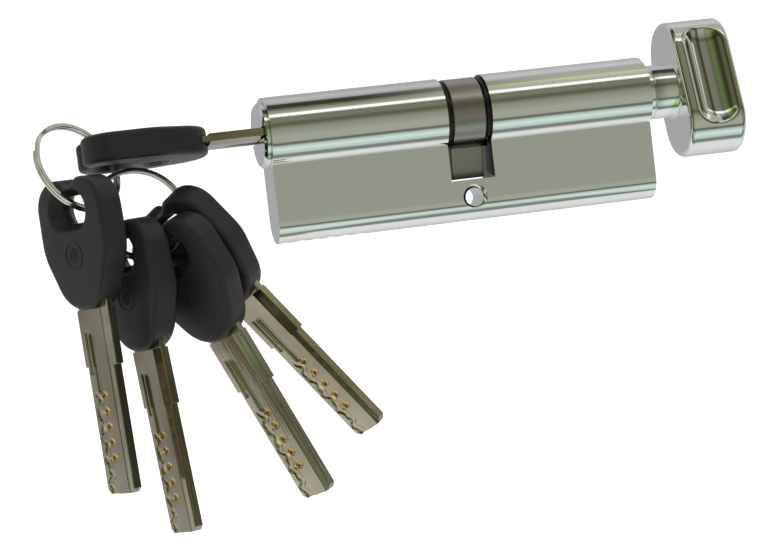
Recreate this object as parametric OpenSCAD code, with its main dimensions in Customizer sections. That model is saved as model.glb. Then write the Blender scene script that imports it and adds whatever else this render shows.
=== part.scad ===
// Euro profile cylinder: keyed on one side, thumbturn on the other, with five keys on two split rings.
// X runs along the plug's axis towards the thumbturn, Z is up and the web hangs down.
// The origin is on the plug's axis, in the plane of the cam and the fixing screw.

/* [Body] */
// Diameter of the barrel
barrel_d = 17; // [16.8:0.1:17.2]
// Width of the web
web_w = 10; // [9.8:0.1:10.2]
// Height from the web's foot to the top of the barrel
body_h = 33; // [32.8:0.1:33.2]
// Length of the keyed side, from the cam's middle plane to the body's end
key_side = 46; // [46:1:60]
// Length of the thumbturn side, from the cam's middle plane to the body's end
knob_side = 44; // [35:1:60]
// Width of the slot that the cam turns in
slot_w = 10.4; // [10.2:0.1:10.6]
// Depth of the slot's floor below the axis
slot_depth = 15.2; // [15.2:0.1:16]
// Depth of the fixing screw's axis below the plug's axis
screw_depth = 19.2; // [19:0.1:20]
// Core diameter of the fixing screw's thread
screw_core_d = 4.2; // [4.1:0.1:4.4]

/* [Plug and pins] */
// Diameter of the plug
plug_d = 13; // [12.8:0.1:13]
// Diameter of the plug's bevelled face
plug_face_d = 14.8; // [14:0.1:15]
// How far the plug's face stands out of the body
plug_out = 1.5; // [1:0.1:2]
// Angle that the plug, its pins and its key rest at
plug_turn = -6.5; // [-8:0.5:0]
// Spacing of the pins
pin_pitch = 3.4; // [3.2:0.1:3.4]
// Distance from the key's shoulder to the first pin
first_pin = 6.4; // [6:0.1:7]
// Diameter of the pins
pin_d = 2.6; // [2.4:0.1:2.6]

/* [Cam] */
// Diameter of the cam's band
cam_d = 16.2; // [16:0.1:16.4]
// Width of the cam's band
cam_w = 7.6; // [7:0.1:7.8]
// Reach of the cam's nose from the axis
cam_reach = 14.9; // [14:0.1:14.9]
// Thickness of the cam's nose
nose_w = 7; // [6:0.5:8]
// Angle that the cam rests at, from straight down
cam_turn = 10; // [0:1:40]

/* [Thumbturn] */
// Diameter of the spindle's visible neck
neck_d = 12.6; // [12:0.1:12.8]
// Length of the neck between the body and the knob
neck_l = 7.8; // [7:0.1:9]
// Thickness of the knob along the axis
knob_t = 14; // [13:0.5:15]
// Narrow width of the knob
knob_w = 16.8; // [16:0.2:18]
// Height of the knob
knob_h = 32.6; // [31:0.2:34]
// Angle that the knob rests at
knob_turn = -17.5; // [-20:0.5:-10]

/* [Keys] */
// Thickness of the blade
blade_t = 2.4; // [2.2:0.1:2.6]
// Width of the blade that enters the plug
blade_w = 8.8; // [8.4:0.1:9]
// Width of the blade above its shoulders
shank_w = 10.4; // [10:0.1:10.6]
// Length of the blade that enters the plug
blade_l = 27.8; // [26.5:0.1:28]
// Length of the shank between the shoulders and the head
shank_l = 12.4; // [12:0.1:13]
// Length of the moulded head
head_l = 28.4; // [27:0.1:30]
// Width of the moulded head
head_w = 22.6; // [22:0.2:24]
// Thickness of the moulded head
head_t = 7.2; // [7:0.1:8]

/* [Split rings] */
// Outer diameter of a split ring
ring_d = 21.8; // [21:0.2:23]
// Radial thickness of a split ring's wire
ring_wire = 1; // [0.8:0.1:1.2]
// Width of a split ring's two turns together
ring_w = 1.5; // [1.2:0.1:1.8]

/* [Hidden] */
$fn = 64;

// Fits and small allowances
eps = 0.02;
run_fit = 0.05;
slip_fit = 0.12;
far = 100;

// Body
barrel_r = barrel_d / 2;
foot_r = web_w / 2;
foot_z = barrel_r - body_h;
bore_r = plug_d / 2 + run_fit;
screw_mouth_r = 2.9;
screw_chamfer = 0.8;
end_chamfer = 0.3;

// Plug, from its face to its tail inside the cam
plug_r = plug_d / 2;
face_r = plug_face_d / 2;
face_x = -key_side - plug_out;
face_bevel = 0.6;
seat_depth = 0.7;
shoulder_x = face_x + seat_depth;
tip_x = shoulder_x + blade_l;
keyway_end = tip_x + 0.6;
tail_r = 6;
tail_gap = 0.4;
clip_x = slot_w / 2 - run_fit;
clip_t = 0.95;
clip_groove_r = 5.2;
clip_r = 8;
clip_mouth = 7;

// Pins, counted from the key's shoulder
pin_count = 5;
pin_r = pin_d / 2;
chamber_r = pin_r + run_fit;
pin_point_r = 0.6;
driver_top = -plug_r - 0.06;
driver_l = 5.2;
spring_l = 9;
spring_turns = 6;
spring_wire = 0.36;
plug_cap_l = 2.2;
guard_r = 1;
guard_x = -key_side + 1.6;
guard_top = -9;

// Clutch and its spring
clutch_t = 2.9;
clutch_l = 2.8;
clutch_r = 6.7;
clutch_x = -tail_gap - clutch_l;
rod_r = 1.5;
clutch_spring_r = 1.9;
clutch_spring_wire = 0.4;
clutch_spring_l = 5.4;
clutch_spring_turns = 5;
spring_pocket_r = 2.3;

// Knob and spindle
knob_x = knob_side + neck_l;
collar_l = 2;
neck_r = neck_d / 2;
tang_r = 4;
tang_l = 12;
grub_r = 1.7;
grub_x = knob_side + 5;
scoop_r = 6.6;
scoop_sink = 4.4;
scoop_top = 13.4;
scoop_foot = 12.2;
scoop_end_r = 4.6;

// Head, measured from the shoulder
head_x = -shank_l;
head_end = head_x - head_l;
lobe_r = 6.6;
lobe_y = 4.6;
belly_r = head_w / 2;
belly_x = head_end + 13.4;
throat_r = 8.6;
throat_x = head_x - throat_r;
notch_r = 3.4;
notch_depth = 1.8;
// Layers of the head as [height from the middle, inset from the outline]
head_layers = [[2.5, 0], [3.1, 0.6], [head_t / 2, 5.4]];
eye_x = head_end + 6.8;
eye_r = 3;
eye_y = 1.6;
eye_land = 0.8;
eye_flare = 1.2;
bow_end = eye_x + 6;
bow_t = 1.4;
dimple_r = 1;
dimple_depth = 0.5;
tip_bevel = 1;

// Split rings
ring_r = ring_d / 2 - ring_wire / 2;

// Rest places of the rings: centre, and the direction of each ring's axis
ring_1_at = [-89.1, -5.1, -2.5];
ring_1_turn = [34, 59, -17];
ring_2_at = [-76.8, -5.7, -14.1];
ring_2_turn = [-114, 23, 0];

// Rest places of the keys: centre of the head's eye, and the key's turn
key_a_at = [-90.5, -11.2, -11.5];
key_a_turn = [102, 87, -48];
key_b_at = [-80.6, -9.6, -22];
key_b_turn = [109, 84, -45];
key_c_at = [-70.7, -10.9, -23];
key_c_turn = [140, 66, -5];
key_d_at = [-68, -4.5, -17.9];
key_d_turn = [140, 53, -5];

function pin_x(i) = shoulder_x + first_pin + i * pin_pitch;

// A rod along X, from x0 for l
module rod(x0, l, r) {
    translate([x0, 0, 0])
        rotate([0, 90, 0])
            cylinder(h = l, r = r);
}

// A cone along X, from radius ra at x0 to rb at x0 + l
module cone(x0, l, ra, rb) {
    translate([x0, 0, 0])
        rotate([0, 90, 0])
            cylinder(h = l, r1 = ra, r2 = rb);
}

// A box centred on the axis, from x0 for l, with width w along Y and height h along Z
module bar(x0, l, w, h) {
    translate([x0, -w / 2, -h / 2])
        cube([l, w, h]);
}

// A coil spring along Z from z = 0, with flat-cut ends closed by its end sections
module coil(r, wire_d, turns, l) {
    steps = turns * 12;
    sides = 6;
    rise = (l - wire_d) / steps;
    points = [for (i = [0:steps], j = [0:sides - 1])
        let (a = i * 30, b = j * 360 / sides, reach = r + wire_d / 2 * cos(b))
        [reach * cos(a), reach * sin(a), wire_d / 2 + i * rise + wire_d / 2 * sin(b)]];
    walls = [for (i = [0:steps - 1], j = [0:sides - 1], half = [0, 1])
        let (k = (j + 1) % sides, far_corner = (i + 1) * sides + j)
        half == 0 ? [i * sides + k, (i + 1) * sides + k, far_corner]
                  : [i * sides + k, far_corner, i * sides + j]];
    first = [for (j = [sides - 1:-1:0]) j];
    last = [for (j = [0:sides - 1]) steps * sides + j];
    polyhedron(points, concat([first], walls, [last]), convexity = 10);
}

// A C-shaped clip across X, from x0 for clip_t, open towards -Z
module clip(x0) {
    difference() {
        rod(x0, clip_t, clip_r);
        rod(x0 - 1, clip_t + 2, clip_groove_r + run_fit);
        translate([x0 - 1, -clip_mouth / 2, -far])
            cube([clip_t + 2, clip_mouth, far]);
    }
}

// ---- Body and what is fixed in it ----

module profile_2d() {
    circle(r = barrel_r, $fn = 96);
    translate([-foot_r, foot_z + foot_r])
        square([web_w, -foot_z - foot_r]);
    translate([0, foot_z + foot_r])
        circle(r = foot_r);
}

module body() {
    color("silver")
        difference() {
            translate([-key_side, 0, 0])
                rotate([90, 0, 90])
                    linear_extrude(height = key_side + knob_side)
                        profile_2d();
            translate([-slot_w / 2, -far / 2, -slot_depth])
                cube([slot_w, far, far]);
            rod(-far, 2 * far, bore_r);
            for (i = [0:pin_count - 1])
                translate([pin_x(i), 0, foot_z - 1])
                    cylinder(h = -foot_z, r = chamber_r);
            translate([guard_x, 0, foot_z - 1])
                cylinder(h = guard_top - foot_z + 1, r = guard_r);
            translate([0, 0, -screw_depth])
                rotate([90, 0, 0])
                    cylinder(h = 2 * web_w, r = screw_core_d / 2, center = true);
            for (side = [-1, 1])
                translate([0, side * foot_r, -screw_depth])
                    rotate([side * 90, 0, 0])
                        screw_mouth();
        }
}

module screw_mouth() {
    translate([0, 0, -eps])
        cylinder(h = screw_chamfer + eps, r1 = screw_mouth_r, r2 = screw_core_d / 2);
}

module driver_pins() {
    color("goldenrod")
        for (i = [0:pin_count - 1])
            translate([pin_x(i), 0, driver_top - driver_l])
                cylinder(h = driver_l, r = pin_r);
}

module pin_springs() {
    color("gray")
        for (i = [0:pin_count - 1])
            translate([pin_x(i), 0, driver_top - driver_l - spring_l])
                coil(pin_r - spring_wire, spring_wire, spring_turns, spring_l);
}

module chamber_plugs() {
    color("goldenrod")
        for (i = [0:pin_count - 1])
            translate([pin_x(i), 0, driver_top - driver_l - spring_l - plug_cap_l])
                cylinder(h = plug_cap_l, r = chamber_r);
}

module anti_drill_pins() {
    color("dimgray")
        translate([guard_x, 0, foot_z + 0.8])
            cylinder(h = guard_top - foot_z - 0.8, r = guard_r);
}

// ---- Plug and what turns with it ----

module plug() {
    color("silver")
        rotate([plug_turn, 0, 0])
            difference() {
                union() {
                    cone(face_x, face_bevel, face_r - face_bevel, face_r);
                    rod(face_x + face_bevel, plug_out - face_bevel - run_fit, face_r);
                    rod(-key_side - run_fit, key_side + run_fit - clip_x - clip_t / 2, plug_r);
                    rod(-clip_x - clip_t / 2, clip_x + clip_t / 2 - tail_gap, tail_r);
                }
                difference() {
                    rod(-clip_x, clip_t, far);
                    rod(-clip_x, clip_t, clip_groove_r);
                }
                bar(face_x - 1, 1 + seat_depth, far, blade_t + 2 * slip_fit);
                bar(face_x - 1, keyway_end - face_x + 1,
                    blade_w + 2 * slip_fit, blade_t + 2 * slip_fit);
                rod(keyway_end - 1, -keyway_end, rod_r + run_fit);
                bar(clutch_x - run_fit, far, far, clutch_t + 2 * run_fit);
                for (i = [0:pin_count - 1])
                    translate([pin_x(i), 0, -far])
                        cylinder(h = far, r = chamber_r);
            }
}

module plug_clip() {
    color("dimgray")
        rotate([plug_turn, 0, 0])
            clip(-clip_x);
}

module key_pins() {
    color("goldenrod")
        rotate([plug_turn, 0, 0])
            for (i = [0:pin_count - 1])
                translate([pin_x(i), 0, 0])
                    key_pin();
}

// The pin stops short of the plug's surface and of the key's blade
module key_pin() {
    foot = -sqrt(plug_r * plug_r - pin_r * pin_r);
    top = -blade_t / 2 - run_fit;
    rotate_extrude()
        polygon([[0, foot], [pin_r, foot], [pin_r, top - 0.5], [pin_point_r, top], [0, top]]);
}

module clutch() {
    color("gainsboro")
        rotate([plug_turn, 0, 0])
            intersection() {
                rod(clutch_x, clutch_l, clutch_r);
                bar(clutch_x, clutch_l, far, clutch_t);
            }
}

module clutch_push_rod() {
    color("gainsboro")
        rod(tip_x + run_fit, clutch_x - tip_x - run_fit, rod_r);
}

module clutch_spring() {
    color("gray")
        translate([-tail_gap, 0, 0])
            rotate([0, 90, 0])
                coil(clutch_spring_r - clutch_spring_wire / 2, clutch_spring_wire,
                     clutch_spring_turns, clutch_spring_l);
}

// ---- Cam ----

module cam() {
    color("darkslategray")
        difference() {
            rotate([cam_turn, 0, 0])
                union() {
                    rod(-cam_w / 2, cam_w, cam_d / 2);
                    intersection() {
                        rod(-cam_w / 2, cam_w, cam_reach);
                        translate([-cam_w / 2, -nose_w / 2, -far])
                            cube([cam_w, nose_w, far]);
                    }
                }
            rod(-cam_w, 2 * cam_w, tail_r + run_fit);
            rotate([plug_turn, 0, 0])
                intersection() {
                    rod(-cam_w, 2 * cam_w, clutch_r + run_fit);
                    bar(-cam_w, 2 * cam_w, far, clutch_t + 2 * run_fit);
                }
        }
}

// ---- Thumbturn ----

module spindle() {
    color("silver")
        rotate([knob_turn, 0, 0])
            difference() {
                union() {
                    rod(tail_gap, clip_x + clip_t / 2 - tail_gap, tail_r);
                    rod(clip_x, knob_side - 0.5 - clip_x, plug_r);
                    rod(knob_side - 0.5, collar_l + 0.5 - end_chamfer, neck_r);
                    cone(knob_side + collar_l - end_chamfer, end_chamfer, neck_r, neck_r - end_chamfer);
                    rod(knob_side + collar_l, tang_l, tang_r);
                }
                difference() {
                    rod(clip_x - clip_t, clip_t, far);
                    rod(clip_x - clip_t, clip_t, clip_groove_r);
                }
                bar(tail_gap - 1, 1 + clutch_l, far, clutch_t + 2 * run_fit);
                rod(0, clutch_spring_l + 1, spring_pocket_r);
            }
}

module spindle_clip() {
    color("dimgray")
        rotate([knob_turn, 0, 0])
            clip(clip_x - clip_t);
}

module knob() {
    stem_x = knob_side + collar_l;
    color("silver")
        rotate([knob_turn, 0, 0])
            difference() {
                union() {
                    translate([knob_x, 0, 0])
                        rotate([90, 0, 90])
                            linear_extrude(height = knob_t)
                                knob_2d();
                    cone(stem_x, end_chamfer, neck_r - end_chamfer, neck_r);
                    rod(stem_x + end_chamfer, neck_l - collar_l, neck_r);
                }
                for (side = [-1, 1])
                    scale([1, side, 1])
                        scoop();
                rod(stem_x - 1, tang_l + 1.2, tang_r + eps);
                translate([grub_x, 0, 0])
                    rotate([-90, 0, 0])
                        cylinder(h = far, r = grub_r + eps);
            }
}

module knob_2d() {
    end_r = knob_w / 2;
    for (side = [-1, 1])
        translate([0, side * (knob_h / 2 - end_r)])
            circle(r = end_r);
    square([knob_w, knob_h - knob_w], center = true);
}

// The finger scoop, a trough along Z in the -Y face
module scoop() {
    x = knob_x + knob_t / 2 + 0.6;
    translate([x, -knob_w / 2 - scoop_sink, -scoop_foot + scoop_end_r])
        cylinder(h = scoop_top + scoop_foot - 2 * scoop_end_r, r = scoop_r);
    for (z = [-scoop_foot + scoop_end_r, scoop_top - scoop_end_r])
        translate([x, -knob_w / 2 - scoop_sink, z])
            sphere(r = scoop_r);
}

module knob_screw() {
    color("dimgray")
        rotate([knob_turn, 0, 0])
            translate([grub_x, tang_r, 0])
                rotate([-90, 0, 0])
                    difference() {
                        cylinder(h = neck_r - tang_r - 0.3, r = grub_r);
                        translate([0, 0, 1])
                            cylinder(h = 5, r = 0.9, $fn = 6);
                    }
}

// ---- Keys: the shoulder is at x = 0 and the tip points along +X ----

module blade() {
    color("lightgray")
        difference() {
            union() {
                bar(-shank_l, shank_l, shank_w, blade_t);
                bar(bow_end, -shank_l - bow_end + eps, shank_w, bow_t);
                linear_extrude(height = blade_t, center = true)
                    blade_2d();
            }
            for (i = [0:pin_count - 1], side = [-1, 1])
                translate([first_pin + i * pin_pitch, 0, side * blade_t / 2])
                    rotate([90 - side * 90, 0, 0])
                        dimple();
        }
}

module blade_2d() {
    half = blade_w / 2;
    polygon([[-eps, -half], [blade_l - tip_bevel, -half], [blade_l, -half + tip_bevel],
             [blade_l, half - tip_bevel], [blade_l - tip_bevel, half], [-eps, half]]);
}

module dimple() {
    translate([0, 0, -dimple_depth])
        cylinder(h = dimple_depth + eps, r1 = 0.3, r2 = dimple_r);
}

module head() {
    color([0.12, 0.12, 0.13])
        difference() {
            hull()
                for (layer = head_layers, disc = head_discs())
                    translate([disc[0], disc[1], 0])
                        cylinder(h = 2 * layer[0], r = disc[2] - layer[1], center = true, $fn = 36);
            translate([head_end + notch_depth - notch_r, 0, 0])
                cylinder(h = far, r = notch_r, center = true);
            for (y = [-eye_y, eye_y])
                translate([eye_x, y, 0])
                    eye();
            translate([eye_x, 0, 0])
                cube([2 * eye_r, 2 * eye_y, far], center = true);
            bar(bow_end, head_x - bow_end + 1, shank_w, bow_t);
        }
}

// The discs that the head's outline wraps round, as [x, y, radius]
function head_discs() = [
    [throat_x, 0, throat_r],
    [belly_x, 0, belly_r],
    [head_end + lobe_r, lobe_y, lobe_r],
    [head_end + lobe_r, -lobe_y, lobe_r]];

// One end of the ring's eye, flared towards both faces
module eye() {
    cylinder(h = far, r = eye_r, center = true);
    for (side = [-1, 1])
        scale([1, 1, side])
            translate([0, 0, eye_land])
                cylinder(h = head_t / 2, r1 = eye_r, r2 = eye_r + eye_flare * 2);
}

// Puts a key in the plug
module in_plug() {
    rotate([plug_turn, 0, 0])
        translate([shoulder_x, 0, 0])
            children();
}

// Puts a key on a ring, with its eye's centre at a point
module on_ring(at, turn) {
    translate(at)
        rotate(turn)
            translate([-eye_x, 0, 0])
                children();
}

// ---- Split rings ----

module split_ring() {
    color("gainsboro")
        rotate_extrude($fn = 96)
            for (side = [-1, 1])
                translate([ring_r, side * ring_w / 4])
                    square([ring_wire, ring_w / 2 + eps], center = true);
}

module split_ring_1() {
    translate(ring_1_at)
        rotate(ring_1_turn)
            split_ring();
}

module split_ring_2() {
    translate(ring_2_at)
        rotate(ring_2_turn)
            split_ring();
}

body();
driver_pins();
pin_springs();
chamber_plugs();
anti_drill_pins();
plug();
plug_clip();
key_pins();
clutch();
clutch_push_rod();
clutch_spring();
cam();
spindle();
spindle_clip();
knob();
knob_screw();
in_plug() blade();  // blade_in_plug
in_plug() head();  // head_in_plug
split_ring_1();
on_ring(key_a_at, key_a_turn) blade();  // blade_a
on_ring(key_a_at, key_a_turn) head();  // head_a
split_ring_2();
on_ring(key_b_at, key_b_turn) blade();  // blade_b
on_ring(key_b_at, key_b_turn) head();  // head_b
on_ring(key_c_at, key_c_turn) blade();  // blade_c
on_ring(key_c_at, key_c_turn) head();  // head_c
on_ring(key_d_at, key_d_turn) blade();  // blade_d
on_ring(key_d_at, key_d_turn) head();  // head_d
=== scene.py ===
"""Euro profile cylinder with a thumbturn, one key in the plug and four more on split rings.

Lengths inside the shape functions are millimetres; meshes are scaled to metres when they are made.
X runs along the plug's axis towards the thumbturn and Z is up.
"""
import math

import bmesh
import bpy
import numpy as np
from mathutils import Euler, Matrix, Vector


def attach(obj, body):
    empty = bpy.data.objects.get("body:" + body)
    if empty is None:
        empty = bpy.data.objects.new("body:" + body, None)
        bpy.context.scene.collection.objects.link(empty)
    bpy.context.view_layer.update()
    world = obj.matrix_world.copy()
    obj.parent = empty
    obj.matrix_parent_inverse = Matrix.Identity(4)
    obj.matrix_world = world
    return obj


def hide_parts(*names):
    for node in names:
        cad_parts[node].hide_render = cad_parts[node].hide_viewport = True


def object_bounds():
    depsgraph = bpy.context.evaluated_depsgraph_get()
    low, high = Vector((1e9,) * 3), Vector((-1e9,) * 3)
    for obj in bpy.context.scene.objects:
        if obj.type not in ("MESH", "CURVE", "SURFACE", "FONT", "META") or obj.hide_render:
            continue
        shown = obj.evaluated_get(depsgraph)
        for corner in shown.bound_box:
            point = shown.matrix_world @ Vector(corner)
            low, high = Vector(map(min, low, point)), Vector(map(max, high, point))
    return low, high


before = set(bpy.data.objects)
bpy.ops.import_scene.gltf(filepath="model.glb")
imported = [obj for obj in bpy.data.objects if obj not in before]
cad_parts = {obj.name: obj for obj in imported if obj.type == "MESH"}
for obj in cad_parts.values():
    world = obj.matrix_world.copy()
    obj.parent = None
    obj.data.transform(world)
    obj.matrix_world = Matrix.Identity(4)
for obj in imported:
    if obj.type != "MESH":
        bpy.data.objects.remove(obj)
cad_box = [list(corner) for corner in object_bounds()]

MM = 0.001

# Body, as in the CAD: the fixing screw's plane is x = 0
KEY_SIDE = 46.0
KNOB_SIDE = 44.0
SLOT_W = 10.4
SLOT_FLOOR = -15.2

# Rest angles of the plug and the knob
PLUG_TURN = -6.5
KNOB_TURN = -17.5

# Spindle's neck, and the knob on it
NECK_R = 6.3
NECK_L = 7.8
COLLAR_L = 2.0
TANG_R = 4.0
KNOB_T = 14.0
KNOB_W = 16.8
KNOB_H = 32.6

# Keys
BLADE_T = 2.4
BLADE_W = 8.8
BLADE_L = 27.8
SHANK_W = 10.4
SHANK_L = 12.4
HEAD_L = 28.4
HEAD_W = 22.6
HEAD_END = -SHANK_L - HEAD_L
EYE_X = HEAD_END + 6.8
BOW_END = EYE_X + 6.0
BOW_T = 1.4
STRIP_Y = 2.95
SHOULDER_X = -KEY_SIDE - 0.8

# Pins and their springs
FIRST_PIN = 6.4
PIN_PITCH = 3.4
PIN_COUNT = 5
PIN_R = 1.3
DRIVER_FOOT = -11.76
SPRING_L = 9.0
SPRING_WIRE = 0.36
SPRING_TURNS = 6

# Clutch spring
CLUTCH_COIL_R = 1.7
CLUTCH_WIRE = 0.4
CLUTCH_COIL_L = 5.4
CLUTCH_TURNS = 5
CLUTCH_COIL_X = -0.4

# Split rings: middle of the wire, and half its section
RING_R = 10.4
WIRE_HALF_W = 0.5
WIRE_HALF_H = 0.36
WIRE_CORNER = 0.16

# Rest places of the rings (centre, turn about X, Y and Z, and where the wire's ends lie) and of the
# loose keys (eye, and turn)
RING_PLACES = {
    "split_ring_1": ((-89.1, -5.1, -2.5), (34, 59, -17), 205),
    "split_ring_2": ((-76.8, -5.7, -14.1), (-114, 23, 0), 60),
}
KEY_PLACES = {
    "a": ((-90.5, -11.2, -11.5), (102, 87, -48)),
    "b": ((-80.6, -9.6, -22.0), (109, 84, -45)),
    "c": ((-70.7, -10.9, -23.0), (140, 66, -5)),
    "d": ((-68.0, -4.5, -17.9), (140, 53, -5)),
}


def placed(at, turn):
    """The matrix that turns about X, then Y, then Z, and moves to at."""
    angles = [math.radians(a) for a in turn]
    return Matrix.Translation(Vector(at) * MM) @ Euler(angles, "XYZ").to_matrix().to_4x4()


# ---- Materials ----

# Broad patches of colour per metre, and the height in metres that fine relief is scaled from
BROAD_PATCHES = 60.0
RELIEF = 0.0002


def ramp_colour(low, high, factor, nodes, links):
    """Mixes two colours by a factor socket."""
    mix = nodes.new("ShaderNodeMix")
    mix.data_type = "RGBA"
    mix.inputs["A"].default_value = (*low, 1)
    mix.inputs["B"].default_value = (*high, 1)
    links.new(factor, mix.inputs["Factor"])
    return mix.outputs["Result"]


def grain_noise(nodes, links, scale, stretch, detail=3.0):
    """Noise in the piece's own coordinates, stretched along an axis."""
    coords = nodes.new("ShaderNodeAttribute")
    coords.attribute_name = "local"
    mapping = nodes.new("ShaderNodeMapping")
    mapping.inputs["Scale"].default_value = stretch
    noise = nodes.new("ShaderNodeTexNoise")
    noise.inputs["Scale"].default_value = scale
    noise.inputs["Detail"].default_value = detail
    links.new(coords.outputs["Vector"], mapping.inputs["Vector"])
    links.new(mapping.outputs["Vector"], noise.inputs["Vector"])
    return noise.outputs["Fac"]


def finish_material(name, low, high, rough, grain, bump,
                    stretch=(1, 1, 1), wear_and_shade=None, metallic=1, specular=0.5):
    """A shader whose colour, roughness and fine relief vary with procedural noise.

    low and high are the colours it varies between, rough the roughnesses, and grain the noise's
    cells per metre. The colour for wear and painted shade is used where the mesh's attribute for
    them is 1: brass where a key's plating is rubbed through, and painted shade on the walls and
    floor of the body's cam slot.
    """
    material = bpy.data.materials.new(name)
    material.use_nodes = True
    nodes = material.node_tree.nodes
    links = material.node_tree.links
    shader = nodes["Principled BSDF"]
    shader.inputs["Metallic"].default_value = metallic
    shader.inputs["Specular IOR Level"].default_value = specular

    broad = grain_noise(nodes, links, BROAD_PATCHES, (1, 1, 1))
    colour = ramp_colour(low, high, broad, nodes, links)
    if wear_and_shade:
        attribute = nodes.new("ShaderNodeAttribute")
        attribute.attribute_name = "wear_and_shade"
        mix = nodes.new("ShaderNodeMix")
        mix.data_type = "RGBA"
        mix.inputs["B"].default_value = (*wear_and_shade, 1)
        links.new(attribute.outputs["Fac"], mix.inputs["Factor"])
        links.new(colour, mix.inputs["A"])
        colour = mix.outputs["Result"]
    links.new(colour, shader.inputs["Base Color"])

    fine = grain_noise(nodes, links, grain, stretch, 5.0)
    spread = nodes.new("ShaderNodeMapRange")
    spread.inputs["To Min"].default_value = rough[0]
    spread.inputs["To Max"].default_value = rough[1]
    links.new(fine, spread.inputs["Value"])
    links.new(spread.outputs["Result"], shader.inputs["Roughness"])

    relief = nodes.new("ShaderNodeBump")
    relief.inputs["Strength"].default_value = bump
    relief.inputs["Distance"].default_value = RELIEF
    links.new(fine, relief.inputs["Height"])
    links.new(relief.outputs["Normal"], shader.inputs["Normal"])
    return material


MATERIALS = {
    # The near-black colour is painted shade on the walls and floor of the body's cam slot.
    "plated_body": finish_material(
        "polished_nickel", (0.87, 0.88, 0.86), (0.91, 0.91, 0.9),
        rough=(0.02, 0.05), grain=900, bump=0.01, wear_and_shade=(0.045, 0.043, 0.04)),
    "plated_knob": finish_material(
        "polished_nickel_knob", (0.87, 0.88, 0.87), (0.91, 0.91, 0.91),
        rough=(0.02, 0.04), grain=700, bump=0.008),
    "brass": finish_material(
        "turned_brass", (0.74, 0.52, 0.2), (0.85, 0.64, 0.3),
        rough=(0.2, 0.34), grain=1500, bump=0.08, stretch=(1, 1, 6)),
    "spring_steel": finish_material(
        "drawn_spring_wire", (0.5, 0.5, 0.5), (0.62, 0.62, 0.61),
        rough=(0.25, 0.38), grain=2500, bump=0.06),
    "hard_steel": finish_material(
        "hardened_steel", (0.035, 0.034, 0.034), (0.06, 0.058, 0.057),
        rough=(0.3, 0.42), grain=1800, bump=0.1),
    "black_steel": finish_material(
        "blackened_steel", (0.38, 0.345, 0.35), (0.5, 0.47, 0.43),
        rough=(0.22, 0.38), grain=1400, bump=0.14, stretch=(8, 1, 1)),
    "key_metal": finish_material(
        "key_nickel", (0.15, 0.11, 0.07), (0.66, 0.62, 0.48),
        rough=(0.05, 0.22), grain=1200, bump=0.24, stretch=(0.08, 1, 1), wear_and_shade=(0.95, 0.62, 0.22)),
    "key_plastic": finish_material(
        "moulded_black", (0.007, 0.007, 0.008), (0.012, 0.012, 0.013),
        rough=(0.3, 0.44), grain=5200, bump=0.22, metallic=0, specular=0.45),
    "ring_steel": finish_material(
        "ring_wire", (0.76, 0.75, 0.7), (0.88, 0.87, 0.83),
        rough=(0.12, 0.24), grain=1600, bump=0.08),
}


# ---- Mesh helpers ----


def as_object(name, mesh, sharp, place=None):
    """Links a mesh as an object, smooth except at edges sharper than sharp degrees.

    The mesh keeps its own coordinates in an attribute for its material, then moves to its place.
    """
    own = np.empty(3 * len(mesh.vertices))
    mesh.vertices.foreach_get("co", own)
    mesh.attributes.new("local", "FLOAT_VECTOR", "POINT").data.foreach_set("vector", own)
    if place:
        mesh.transform(place)
    mesh.polygons.foreach_set("use_smooth", [True] * len(mesh.polygons))
    mesh.set_sharp_from_angle(angle=math.radians(sharp))
    obj = bpy.data.objects.new(name, mesh)
    bpy.context.scene.collection.objects.link(obj)
    return obj


def solid_mesh(name, points, faces):
    """A closed mesh from points in millimetres, with its faces turned outwards."""
    mesh = bpy.data.meshes.new(name)
    mesh.from_pydata((np.asarray(points, float) * MM).tolist(), [], faces)
    shell = bmesh.new()
    shell.from_mesh(mesh)
    bmesh.ops.recalc_face_normals(shell, faces=shell.faces)
    shell.to_mesh(mesh)
    shell.free()
    return mesh


def bands(count, around, start=0, joined=False):
    """Quads between successive loops; joined runs the last loop back to the first."""
    faces = []
    for i in range(count if joined else count - 1):
        a = start + i * around
        b = start + (i + 1) % count * around
        for j in range(around):
            k = (j + 1) % around
            faces.append((a + j, a + k, b + k, b + j))
    return faces


def tube(path, section, sideways, upwards, start=0):
    """A capped tube: section holds (sideways, upwards) offsets at each point of the path."""
    points = [p + s * a + u * b for p, s, u in zip(path, sideways, upwards) for a, b in section]
    around = len(section)
    last = start + (len(path) - 1) * around
    faces = bands(len(path), around, start)
    faces.append(tuple(range(start, start + around)))
    faces.append(tuple(range(last, last + around)))
    return points, faces


def revolved(profile, around=96, start=0):
    """A closed ring about X from a closed profile of (x, radius) points."""
    angles = np.linspace(0, 2 * math.pi, around, endpoint=False)
    points = [(x, r * math.cos(a), r * math.sin(a)) for x, r in profile for a in angles]
    return points, bands(len(profile), around, start, joined=True)


def set_piece(obj, body, slot, nodes):
    """Gives a piece its material and its body, and says which CAD nodes it stands for."""
    if not obj.data.materials:
        obj.data.materials.append(MATERIALS[slot])
    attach(obj, body)
    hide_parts(*nodes)
    return obj


def bevelled(node, body, slot, width=0.15, sharp=30):
    """A copy of a CAD node with its flat faces joined up and its edges rounded by width."""
    shell = bmesh.new()
    shell.from_mesh(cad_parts[node].data)
    bmesh.ops.remove_doubles(shell, verts=shell.verts, dist=1e-6)
    bmesh.ops.dissolve_limit(shell, angle_limit=math.radians(0.5), verts=shell.verts, edges=shell.edges)
    mesh = bpy.data.meshes.new(node + "_finished")
    shell.to_mesh(mesh)
    shell.free()
    obj = as_object(node + "_finished", mesh, sharp)
    edges = obj.modifiers.new("edges", "BEVEL")
    edges.width = width * MM
    edges.segments = 3
    edges.limit_method = "ANGLE"
    edges.angle_limit = math.radians(sharp)
    edges.use_clamp_overlap = True
    flat = obj.modifiers.new("flat_faces", "WEIGHTED_NORMAL")
    flat.weight = 100
    flat.keep_sharp = True
    return set_piece(obj, body, slot, [node])


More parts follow.
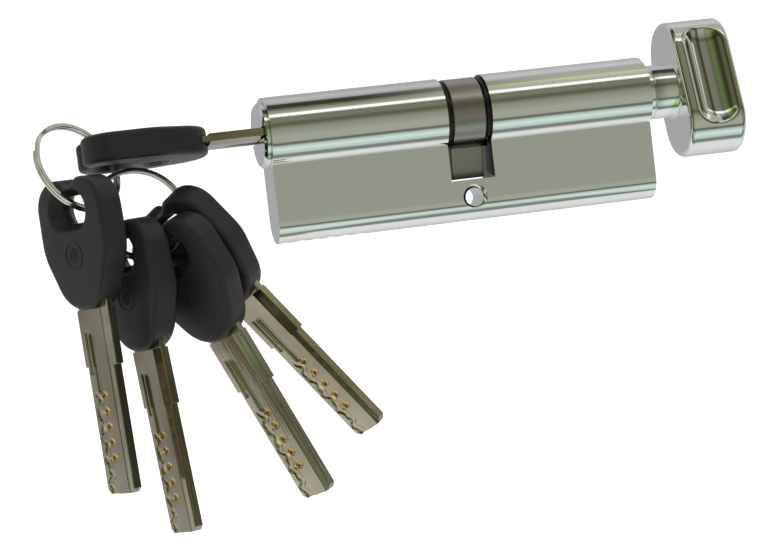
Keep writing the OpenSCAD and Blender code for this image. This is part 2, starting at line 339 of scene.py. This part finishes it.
def paint_slot_shade(body):
    """Paints shade on the walls and floor of the cam's slot: they are marked to take the body's near-black
    colour.
    """
    mesh = body.data
    near = 0.05
    # Painted shade: faces inside the slot are set to 1 and turn near black.
    slot_shade = mesh.attributes.new("wear_and_shade", "FLOAT", "FACE")
    for face in mesh.polygons:
        corners = [mesh.vertices[i].co / MM for i in face.vertices]
        within = all(abs(p.x) < SLOT_W / 2 + near and p.z > SLOT_FLOOR - near for p in corners)
        slot_shade.data[face.index].value = float(within)


# ---- Body, plug, cam and spindle ----

# The body's cam slot gets painted shade.
paint_slot_shade(bevelled("body", "body", "plated_body", 0.2))
bevelled("driver_pins", "body", "brass", 0.15)
bevelled("chamber_plugs", "body", "brass", 0.1)
bevelled("anti_drill_pins", "body", "hard_steel", 0.1)
bevelled("plug", "plug", "plated_body", 0.08)
bevelled("plug_clip", "plug", "hard_steel", 0.06)
bevelled("key_pins", "plug", "brass", 0.1)
bevelled("clutch", "plug", "hard_steel", 0.1)
bevelled("clutch_push_rod", "plug", "hard_steel", 0.2)
bevelled("cam", "cam", "black_steel", 0.2)
bevelled("spindle", "thumbturn", "plated_knob", 0.08)
bevelled("spindle_clip", "thumbturn", "hard_steel", 0.06)
bevelled("knob_screw", "thumbturn", "hard_steel", 0.06)


# ---- Springs ----


def coil_piece(radius, wire_d, turns, length, start, sections=24, sides=10):
    """An open coil about Z, from z = 0 up to length."""
    steps = np.linspace(0, 1, int(turns * sections) + 1)
    angle = steps * turns * 2 * math.pi
    rise = wire_d / 2 + (length - wire_d) * steps
    path = np.stack([radius * np.cos(angle), radius * np.sin(angle), rise], 1)
    outwards = np.stack([np.cos(angle), np.sin(angle), 0 * angle], 1)
    upwards = np.tile([0.0, 0.0, 1.0], (len(steps), 1))
    ring = np.linspace(0, 2 * math.pi, sides, endpoint=False)
    section = [(wire_d / 2 * math.cos(a), wire_d / 2 * math.sin(a)) for a in ring]
    return tube(path, section, outwards, upwards, start)


def pin_springs():
    """One spring under each driver pin."""
    points, faces = [], []
    for i in range(PIN_COUNT):
        more, skin = coil_piece(PIN_R - SPRING_WIRE, SPRING_WIRE, SPRING_TURNS, SPRING_L, len(points))
        x = SHOULDER_X + FIRST_PIN + i * PIN_PITCH
        points += [p + np.array([x, 0, DRIVER_FOOT - SPRING_L]) for p in more]
        faces += skin
    obj = as_object("pin_springs_wound", solid_mesh("pin_springs_wound", points, faces), 60)
    set_piece(obj, "body", "spring_steel", ["pin_springs"])


def clutch_spring():
    """The coil that pushes the clutch, turned to lie along X."""
    points, faces = coil_piece(CLUTCH_COIL_R, CLUTCH_WIRE, CLUTCH_TURNS, CLUTCH_COIL_L, 0)
    points = [(p[2] + CLUTCH_COIL_X, p[1], -p[0]) for p in points]
    obj = as_object("clutch_spring_wound", solid_mesh("clutch_spring_wound", points, faces), 60)
    set_piece(obj, "plug", "spring_steel", ["clutch_spring"])


# ---- Knob ----


def blend_low(a, b, width):
    """The lower of a and b, rounded where they meet."""
    share = np.clip(0.5 + 0.5 * (b - a) / width, 0, 1)
    return b + (a - b) * share - width * share * (1 - share)


def stadium(inset, around):
    """Points of the knob's outline, inset evenly, as (y, z)."""
    radius = KNOB_W / 2
    straight = (KNOB_H - KNOB_W) / 2
    length = 4 * straight + 2 * math.pi * radius
    outline = []
    for s in np.arange(around) / around * length:
        for side in (1, -1):
            if s < 2 * straight:
                outline.append((side * (radius - inset), side * (s - straight)))
                break
            s -= 2 * straight
            if s < math.pi * radius:
                a = s / radius
                outline.append((side * (radius - inset) * math.cos(a),
                                side * (straight + (radius - inset) * math.sin(a))))
                break
            s -= math.pi * radius
    return np.array(outline)


def knob():
    """A rounded block with a finger scoop in each broad side, and the neck behind it."""
    around = 240
    fillet = 1.1
    blend = 0.7
    scoop_r = 6.6
    scoop_y = KNOB_W / 2 + 4.4
    scoop_x = KNOB_T / 2 + 0.6
    scoop_low, scoop_high = -7.6, 8.8
    corner = np.linspace(0, math.pi / 2, 7)
    rise = [(fillet * (1 - math.cos(a)), fillet * (1 - math.sin(a))) for a in corner]
    face = [(0, 6.5), (0, 3), (0, fillet + 0.3)]
    stations = face + rise
    stations += [(x, 0) for x in np.arange(fillet + 0.3, KNOB_T - fillet - 0.1, 0.3)]
    stations += [(KNOB_T - x, inset) for x, inset in reversed(face + rise)]
    points = []
    for x, inset in stations:
        outline = stadium(inset, around)
        y, z = outline[:, 0], outline[:, 1]
        past_end = z - np.clip(z, scoop_low, scoop_high)
        reach = np.maximum(scoop_r ** 2 - (x - scoop_x) ** 2 - past_end ** 2, 0)
        y = np.sign(y) * blend_low(np.abs(y), scoop_y - np.sqrt(reach), blend)
        points += [(KNOB_SIDE + NECK_L + x, b, c) for b, c in zip(y, z)]
    faces = bands(len(stations), around)
    faces.append(tuple(range(around)))
    faces.append(tuple(range(len(points) - around, len(points))))

    stem = KNOB_SIDE + COLLAR_L
    back = KNOB_SIDE + NECK_L
    flare = 0.6
    bore = TANG_R + 0.05
    neck = [(stem, bore), (stem, NECK_R - 0.3), (stem + 0.1, NECK_R - 0.1), (stem + 0.3, NECK_R)]
    neck += [(back - flare + flare * math.sin(a), NECK_R + flare - flare * math.cos(a)) for a in corner]
    neck += [(back + 0.2, NECK_R + flare), (back + 0.2, bore)]
    more, skin = revolved(neck, 96, len(points))
    points += more
    faces += skin
    turned = placed((0, 0, 0), (KNOB_TURN, 0, 0))
    obj = as_object("knob_scooped", solid_mesh("knob_scooped", points, faces), 40, turned)
    set_piece(obj, "thumbturn", "plated_knob", ["knob"])


# ---- Keys: the shoulder is at x = 0 and the tip points along +X ----


def groove_depth(x, y, ends, at, half, depth):
    """Depth of a round-ended, round-bottomed groove along X."""
    gap = np.hypot(x - np.clip(x, *ends), y - at) / half
    return depth * np.sqrt(np.clip(1 - gap ** 2, 0, 1))


def blade_cut(x, y):
    """Depth cut into a blade's face at x, y, and how far the plating is rubbed through to the brass there.

    The cuts are two grooves by the shank, a wavy track with a notch at the tip, a row of dimples at
    the pins' pitch with smaller ones beside it, and a sloping strip along one edge.
    """
    short_groove = groove_depth(x, y, ends=(-7.2, 1.2), at=-3.1, half=0.62, depth=0.42)
    long_groove = groove_depth(x, y, ends=(-6.8, 5.2), at=-1.45, half=0.75, depth=0.5)
    cut = np.maximum(short_groove, long_groove)

    track_y = -2.35 + 0.5 * np.sin((x - 6) * 2 * math.pi / 5.2) + 0.25 * np.sin(x * 2.7)
    away = np.abs(y - track_y)
    track = (0.34 + 0.14 * np.sin(x * 1.9)) * np.clip((0.95 - away) / 0.35, 0, 1)
    track *= np.clip((x - 5.4) / 0.5, 0, 1)
    notch = np.clip(0.75 - 0.6 * away - 0.7 * np.clip(BLADE_L - x, 0, 9), 0, 1)
    cut = np.maximum(cut, np.maximum(track, notch))

    wear_and_shade = 0.25 * np.clip(track * 3, 0, 1) * (np.sin(x * 5.1) > 0.2)
    for i in range(PIN_COUNT):
        for offset, size in ((0, 1.0), (-1.9 + 0.5 * math.sin(i * 2.2), 0.8)):
            gap = np.hypot(x - FIRST_PIN - i * PIN_PITCH - 0.5 * (size < 1), y - offset)
            dimple = 0.5 * np.clip((size - gap) / 0.7, 0, 1)
            cut = np.maximum(cut, dimple)
            wear_and_shade = np.maximum(wear_and_shade, np.clip(dimple * 2.6, 0, 0.95))

    strip = np.clip(y - STRIP_Y, 0, 3)
    cut = np.maximum(cut, np.where(strip > 0, 0.1 + 0.2 * strip, 0))
    return cut, wear_and_shade


def blade_mesh():
    """Loops across the blade, from the end inside the head to the tip."""
    across = 64
    edge = 0.12
    share = np.linspace(-1, 1, across)
    bow = [(x, SHANK_W / 2, BOW_T / 2) for x in (BOW_END, -SHANK_L - 0.02)]
    shank = [(x, SHANK_W / 2, BLADE_T / 2) for x in np.arange(-SHANK_L, -0.1, 0.2)]
    shank += [(-0.06, SHANK_W / 2 - 0.04, BLADE_T / 2), (0, SHANK_W / 2 - 0.14, BLADE_T / 2)]
    blade = [(x, BLADE_W / 2, BLADE_T / 2) for x in np.arange(0.02, BLADE_L - 1, 0.18)]
    tip = [(BLADE_L - 1 + d, BLADE_W / 2 - d, BLADE_T / 2) for d in np.linspace(0, 0.86, 6)]
    tip += [(BLADE_L, BLADE_W / 2 - 1, BLADE_T / 2 - 0.14)]
    points, wear_and_shade = [], []
    for x, half, thick in bow + shank + blade + tip:
        y = share * (half - edge)
        cut, wear = blade_cut(x, y) if thick > BOW_T / 2 else (0 * y, 0 * y)
        top = thick - cut
        points += [(x, b, c) for b, c in zip(y, top)]
        points += [(x, half, top[-1] - edge), (x, half, edge - top[0])]
        points += [(x, -b, -c) for b, c in zip(y, top)]
        points += [(x, -half, edge - top[-1]), (x, -half, top[0] - edge)]
        wear_and_shade += [*wear, 0, 0, *wear, 0, 0]
    around = 2 * across + 4
    loops = len(points) // around
    faces = bands(loops, around)
    faces.append(tuple(range(around)))
    faces.append(tuple(range(len(points) - around, len(points))))
    mesh = solid_mesh("blade", points, faces)
    mesh.attributes.new("wear_and_shade", "FLOAT", "POINT").data.foreach_set("value", np.array(wear_and_shade))
    mesh.materials.append(MATERIALS["key_metal"])
    return mesh


def head_discs():
    """The discs that the head's outline wraps round, as (x, y, radius)."""
    neck_r = 8.6
    lobe_r = 6.6
    lobe_y = 4.6
    widest = HEAD_END + 13.4
    return [(-SHANK_L - neck_r, 0, neck_r), (widest, 0, HEAD_W / 2),
            (HEAD_END + lobe_r, lobe_y, lobe_r), (HEAD_END + lobe_r, -lobe_y, lobe_r)]


def head_depth(x, y):
    """Distance inside the head's outline, with a notch in its end; below 0 outside it."""
    notch_r = 3.4
    notch_depth = 1.8
    turn = np.linspace(0, 2 * math.pi, 360, endpoint=False)
    ux, uy = np.cos(turn), np.sin(turn)
    reach = np.max([cx * ux + cy * uy + r for cx, cy, r in head_discs()], axis=0)
    hull = np.min(reach - np.multiply.outer(x, ux) - np.multiply.outer(y, uy), axis=-1)
    notch = np.hypot(x - (HEAD_END + notch_depth - notch_r), y) - notch_r
    return blend_low(hull, notch, 1.0)


def eye_gap(x, y):
    """Distance outside the eye, a round-ended slot across the head."""
    half = 1.6
    radius = 3.0
    return np.hypot(x - EYE_X, y - np.clip(y, -half, half)) - radius


def head_top(depth, gap):
    """Height of the head's face above its middle, from the distances to its rim and its eye."""
    edge_h, round_h, crown_h = 2.15, 1.0, 0.35
    shoulder = np.clip(depth / 1.1, 0, 1)
    rim = edge_h + round_h * np.sqrt(1 - (1 - shoulder) ** 2)
    dome = np.clip((depth - 0.4) / 5.2, 0, 1)
    face = rim + crown_h * np.sin(dome * math.pi / 2)
    throat = 0.9 + 1.5 * gap
    return np.minimum(face, blend_low(face, throat, 0.7))


def head_mesh():
    """Loops of points from the eye's edge out to the rim, over the top and back underneath."""
    around = 200
    turn = np.linspace(0, 2 * math.pi, around, endpoint=False)
    ux, uy = np.cos(turn), np.sin(turn)

    def march(distance):
        low, high = np.zeros(around), np.full(around, 60.0)
        for _ in range(36):
            middle = (low + high) / 2
            inside = distance(EYE_X + middle * ux, middle * uy)
            low = np.where(inside, middle, low)
            high = np.where(inside, high, middle)
        return low

    eye = march(lambda x, y: eye_gap(x, y) < 0)
    rim = march(lambda x, y: head_depth(x, y) > 0)
    steps = (1 - np.cos(np.linspace(0, math.pi, 46))) / 2
    loops = []
    for share in steps:
        reach = eye + (rim - eye) * share
        x, y = EYE_X + reach * ux, reach * uy
        height = head_top(np.maximum(head_depth(x, y), 0), np.maximum(eye_gap(x, y), 0))
        loops.append(np.stack([x, y, height], 1))
    under = [loop * (1, 1, -1) for loop in reversed(loops)]
    points = np.concatenate(loops + under)
    faces = bands(2 * len(steps), around, 0, joined=True)
    more, skin = head_mark(len(points))
    return solid_mesh("head", np.concatenate([points, more]), faces + skin)


def head_mark(start):
    """A plain raised ring with three bars, a generic moulded mark, on both faces."""
    points, faces = [], []
    top = head_top(np.array(6.0), np.array(9.0)) + 0.13
    centre = HEAD_END + 16.5
    for side in (1, -1):
        first = start + len(points)
        ring = [(2.55, -0.3), (2.62, 0), (3.0, 0), (3.07, -0.3)]
        spin = np.linspace(0, 2 * math.pi, 48, endpoint=False)
        points += [(centre + r * math.cos(a), r * math.sin(a), side * (top + h))
                   for r, h in ring for a in spin]
        faces += bands(len(ring), len(spin), first, joined=True)
        for y, half in ((-1.0, 1.3), (0.0, 1.7), (1.0, 1.3)):
            first = start + len(points)
            for inset, h in ((0, -0.3), (0.07, 0)):
                points += [(centre + a * (half - inset), y + b * (0.22 - inset), side * (top + h))
                           for a, b in ((-1, -1), (1, -1), (1, 1), (-1, 1))]
            faces += bands(2, 4, first)
            faces += [tuple(range(first, first + 4)), tuple(range(first + 4, first + 8))]
    return np.array(points), faces


def keys():
    """Each key's blade and head are pieces of their own, all from the same two meshes."""
    blade = blade_mesh()
    head = head_mesh()
    head.materials.append(MATERIALS["key_plastic"])
    places = {"in_plug": placed((0, 0, 0), (PLUG_TURN, 0, 0)) @ Matrix.Translation((SHOULDER_X * MM, 0, 0))}
    for letter, (at, turn) in KEY_PLACES.items():
        places[letter] = placed(at, turn) @ Matrix.Translation((-EYE_X * MM, 0, 0))
    for letter, place in places.items():
        body = "key_" + letter
        for part, mesh, slot in (("blade", blade, "key_metal"), ("head", head, "key_plastic")):
            node = f"{part}_{letter}"
            name = f"{node}_cut" if part == "blade" else f"{node}_moulded"
            obj = as_object(name, mesh.copy(), 38, place)
            set_piece(obj, body, slot, [node])


# ---- Split rings ----


def split_ring(node, at, turn, split_at):
    """Two turns of flat wire; each end lies beside the step where the wire crosses over."""
    step = 0.32
    rise = 0.375
    angle = np.linspace(step, 4 * math.pi - step, 360)
    over = np.clip((angle - 2 * math.pi + step) / (2 * step), 0, 1)
    lift = rise * (2 * over * over * (3 - 2 * over) - 1)
    angle = angle + math.radians(split_at)
    outwards = np.stack([np.cos(angle), np.sin(angle), 0 * angle], 1)
    upwards = np.tile([0.0, 0.0, 1.0], (len(angle), 1))
    path = RING_R * outwards + lift[:, None] * upwards
    section = []
    for quarter, (sx, sy) in enumerate(((1, 1), (-1, 1), (-1, -1), (1, -1))):
        for a in np.radians(90 * quarter + np.array([0, 30, 60, 90])):
            section.append((sx * (WIRE_HALF_W - WIRE_CORNER) + WIRE_CORNER * math.cos(a),
                            sy * (WIRE_HALF_H - WIRE_CORNER) + WIRE_CORNER * math.sin(a)))
    points, faces = tube(path, section, outwards, upwards)
    obj = as_object(node + "_wound", solid_mesh(node + "_wound", points, faces), 50, placed(at, turn))
    set_piece(obj, node, "ring_steel", [node])


pin_springs()
clutch_spring()
knob()
keys()
for ring, (ring_at, ring_turn, ring_split) in RING_PLACES.items():
    split_ring(ring, ring_at, ring_turn, ring_split)


# ---- Studio ----


def studio_floor():
    """A wide pale floor that curves up into a backdrop all round."""
    clearance = 34
    lowest = cad_box[0][2] / MM - clearance
    flat, bend = 4000.0, 2500.0
    curve = np.linspace(0, math.pi / 2, 13)
    profile = [(10.0, 0.0)] + [(flat + bend * math.sin(a), bend * (1 - math.cos(a))) for a in curve]
    spin = np.linspace(0, 2 * math.pi, 72, endpoint=False)
    points = [(r * math.cos(a), r * math.sin(a), lowest + z) for r, z in profile for a in spin]
    faces = bands(len(profile), len(spin))
    faces.append(tuple(range(len(spin))))
    mesh = bpy.data.meshes.new("floor")
    mesh.from_pydata((np.array(points) * MM).tolist(), [], faces)
    floor = as_object("floor", mesh, 60)
    pale = bpy.data.materials.new("pale_floor")
    pale.use_nodes = True
    shader = pale.node_tree.nodes["Principled BSDF"]
    shader.inputs["Base Color"].default_value = (0.93, 0.93, 0.93, 1)
    shader.inputs["Roughness"].default_value = 0.9
    shader.inputs["Emission Color"].default_value = (1, 1, 1, 1)
    shader.inputs["Emission Strength"].default_value = 0.3
    mesh.materials.append(pale)
    floor.visible_glossy = False


TINTS = {
    "olive": (1.0, 1.0, 0.72),
    "green": (0.72, 1.0, 0.45),
    "sage": (0.97, 1.0, 0.84),
    "mint": (0.84, 1.0, 0.92),
    "plain": (0.98, 1.0, 0.99),
    "lilac": (0.96, 0.97, 1.0),
}

# What the plating mirrors, by height angle: -90 is straight down, 0 the front, 90 up, 180 the back
ROOM = [
    (-180, 0.42, "lilac"), (-135, 0.64, "lilac"), (-110, 0.78, "plain"), (-84, 0.8, "plain"),
    (-76, 0.24, "mint"), (-68, 0.24, "mint"), (-64, 0.6, "mint"), (-50, 0.84, "mint"),
    (-40, 0.55, "mint"), (-36, 0.16, "sage"), (-31, 0.16, "sage"), (-27, 0.4, "sage"),
    (-12, 0.4, "sage"), (0, 0.34, "sage"), (14, 0.27, "olive"), (24, 0.12, "olive"),
    (29, 0.12, "olive"), (36, 0.2, "olive"), (50, 0.2, "olive"), (54, 1.3, "plain"),
    (59, 1.3, "plain"), (63, 0.42, "sage"), (70, 0.3, "olive"), (80, 0.12, "olive"),
    (84, 0.04, "olive"), (98, 0.05, "plain"), (103, 0.4, "plain"), (118, 0.54, "plain"),
    (140, 0.42, "plain"), (180, 0.42, "lilac"),
]

# Levels that differ to the right, where the strip overhead is lighter
ROOM_RIGHT = {70: 0.5, 80: 0.62, 84: 0.42, 98: 0.42, 118: 0.62, 140: 0.5}

# Dark and light upright strips in front, from the left at -1 to the right at 1
SIDES = [
    (-1.0, 0.7, "sage"), (-0.8, 0.8, "olive"), (-0.64, 0.2, "olive"), (-0.52, 0.22, "olive"),
    (-0.38, 0.7, "green"), (-0.2, 0.95, "green"), (-0.05, 0.6, "plain"), (0.1, 1.0, "plain"),
    (0.44, 1.0, "plain"), (0.52, 0.3, "olive"), (0.6, 0.25, "olive"), (0.7, 0.8, "sage"),
    (0.82, 0.9, "sage"), (0.9, 0.2, "plain"), (1.0, 0.06, "plain"),
]


def room_ramp(nodes, links, stops, low, high, factor):
    """A colour ramp from a list of (place, level, tint), with places from low to high."""
    node = nodes.new("ShaderNodeValToRGB")
    ramp = node.color_ramp
    while len(ramp.elements) > 1:
        ramp.elements.remove(ramp.elements[0])
    for count, (at, level, tint) in enumerate(stops):
        share = (at - low) / (high - low)
        stop = ramp.elements[0] if count == 0 else ramp.elements.new(share)
        stop.position = share
        stop.color = (*[level * c for c in TINTS[tint]], 1)
    links.new(factor, node.inputs["Fac"])
    return node.outputs["Color"]


def ranged(nodes, links, value, low, high, smooth=False):
    """A value mapped from low..high to 0..1."""
    node = nodes.new("ShaderNodeMapRange")
    node.interpolation_type = "SMOOTHSTEP" if smooth else "LINEAR"
    node.inputs["From Min"].default_value = low
    node.inputs["From Max"].default_value = high
    links.new(value, node.inputs["Value"])
    return node.outputs["Result"]


def studio_world():
    """Plain white light, and a banded room for what shines."""
    world = bpy.data.worlds.new("studio")
    bpy.context.scene.world = world
    world.use_nodes = True
    nodes = world.node_tree.nodes
    links = world.node_tree.links
    nodes.clear()
    coords = nodes.new("ShaderNodeTexCoord")
    axes = nodes.new("ShaderNodeSeparateXYZ")
    links.new(coords.outputs["Generated"], axes.inputs["Vector"])
    forward = nodes.new("ShaderNodeMath")
    forward.operation = "MULTIPLY"
    forward.inputs[1].default_value = -1
    links.new(axes.outputs["Y"], forward.inputs[0])
    height = nodes.new("ShaderNodeMath")
    height.operation = "ARCTAN2"
    links.new(axes.outputs["Z"], height.inputs[0])
    links.new(forward.outputs["Value"], height.inputs[1])
    turn = ranged(nodes, links, height.outputs["Value"], -math.pi, math.pi)
    right = [(at, ROOM_RIGHT.get(at, level), tint) for at, level, tint in ROOM]
    mix = nodes.new("ShaderNodeMix")
    mix.data_type = "RGBA"
    links.new(ranged(nodes, links, axes.outputs["X"], 0.24, 0.34, True), mix.inputs["Factor"])
    links.new(room_ramp(nodes, links, ROOM, -180, 180, turn), mix.inputs["A"])
    links.new(room_ramp(nodes, links, right, -180, 180, turn), mix.inputs["B"])
    across = ranged(nodes, links, axes.outputs["X"], -1, 1)
    strips = nodes.new("ShaderNodeMix")
    strips.data_type = "RGBA"
    strips.blend_type = "MULTIPLY"
    links.new(ranged(nodes, links, forward.outputs["Value"], 0.0, 0.3, True), strips.inputs["Factor"])
    links.new(mix.outputs["Result"], strips.inputs["A"])
    links.new(room_ramp(nodes, links, SIDES, -1, 1, across), strips.inputs["B"])

    mirrored = nodes.new("ShaderNodeBackground")
    links.new(strips.outputs["Result"], mirrored.inputs["Color"])
    plain = nodes.new("ShaderNodeBackground")
    plain.inputs["Color"].default_value = (1, 1, 1, 1)
    plain.inputs["Strength"].default_value = 0.9
    light_path = nodes.new("ShaderNodeLightPath")
    chosen = nodes.new("ShaderNodeMixShader")
    out = nodes.new("ShaderNodeOutputWorld")
    links.new(light_path.outputs["Is Glossy Ray"], chosen.inputs["Fac"])
    links.new(plain.outputs["Background"], chosen.inputs[1])
    links.new(mirrored.outputs["Background"], chosen.inputs[2])
    links.new(chosen.outputs["Shader"], out.inputs["Surface"])


def soft_light(name, at, size, power):
    """An area light aimed at the middle of the object."""
    lamp = bpy.data.lights.new(name, "AREA")
    lamp.size = size
    lamp.energy = power
    obj = bpy.data.objects.new(name, lamp)
    bpy.context.scene.collection.objects.link(obj)
    obj.location = at
    centre = (Vector(cad_box[0]) + Vector(cad_box[1])) / 2
    obj.rotation_euler = (centre - Vector(at)).to_track_quat("-Z", "Y").to_euler()
    obj.visible_glossy = False


def camera():
    """Set well back on a long lens, a little above the object and rolled a few degrees."""
    azimuth, elevation, roll = (math.radians(a) for a in (-14.59, 2.5, -6.7))
    distance, aside, below = 0.5312, -0.01596, -0.03701
    back = Vector((math.sin(azimuth) * math.cos(elevation),
                   -math.cos(azimuth) * math.cos(elevation), math.sin(elevation)))
    level = Vector((0, 0, 1)).cross(back).normalized()
    upright = back.cross(level)
    right = level * math.cos(roll) + upright * math.sin(roll)
    up = upright * math.cos(roll) - level * math.sin(roll)
    data = bpy.data.cameras.new("camera")
    data.sensor_width = 36
    data.lens = 107.08
    data.clip_start = 0.01
    obj = bpy.data.objects.new("camera", data)
    bpy.context.scene.collection.objects.link(obj)
    turn = Matrix((right, up, back)).transposed().to_4x4()
    obj.matrix_world = Matrix.Translation(aside * right + below * up + distance * back) @ turn
    bpy.context.scene.camera = obj


studio_floor()
studio_world()
soft_light("key_light", (-0.5, -0.9, 1.0), 0.7, 9)
soft_light("fill_light", (0.9, -0.7, 0.5), 0.9, 4)
camera()
bpy.context.scene.view_settings.view_transform = "Standard"

bpy.context.view_layer.update()
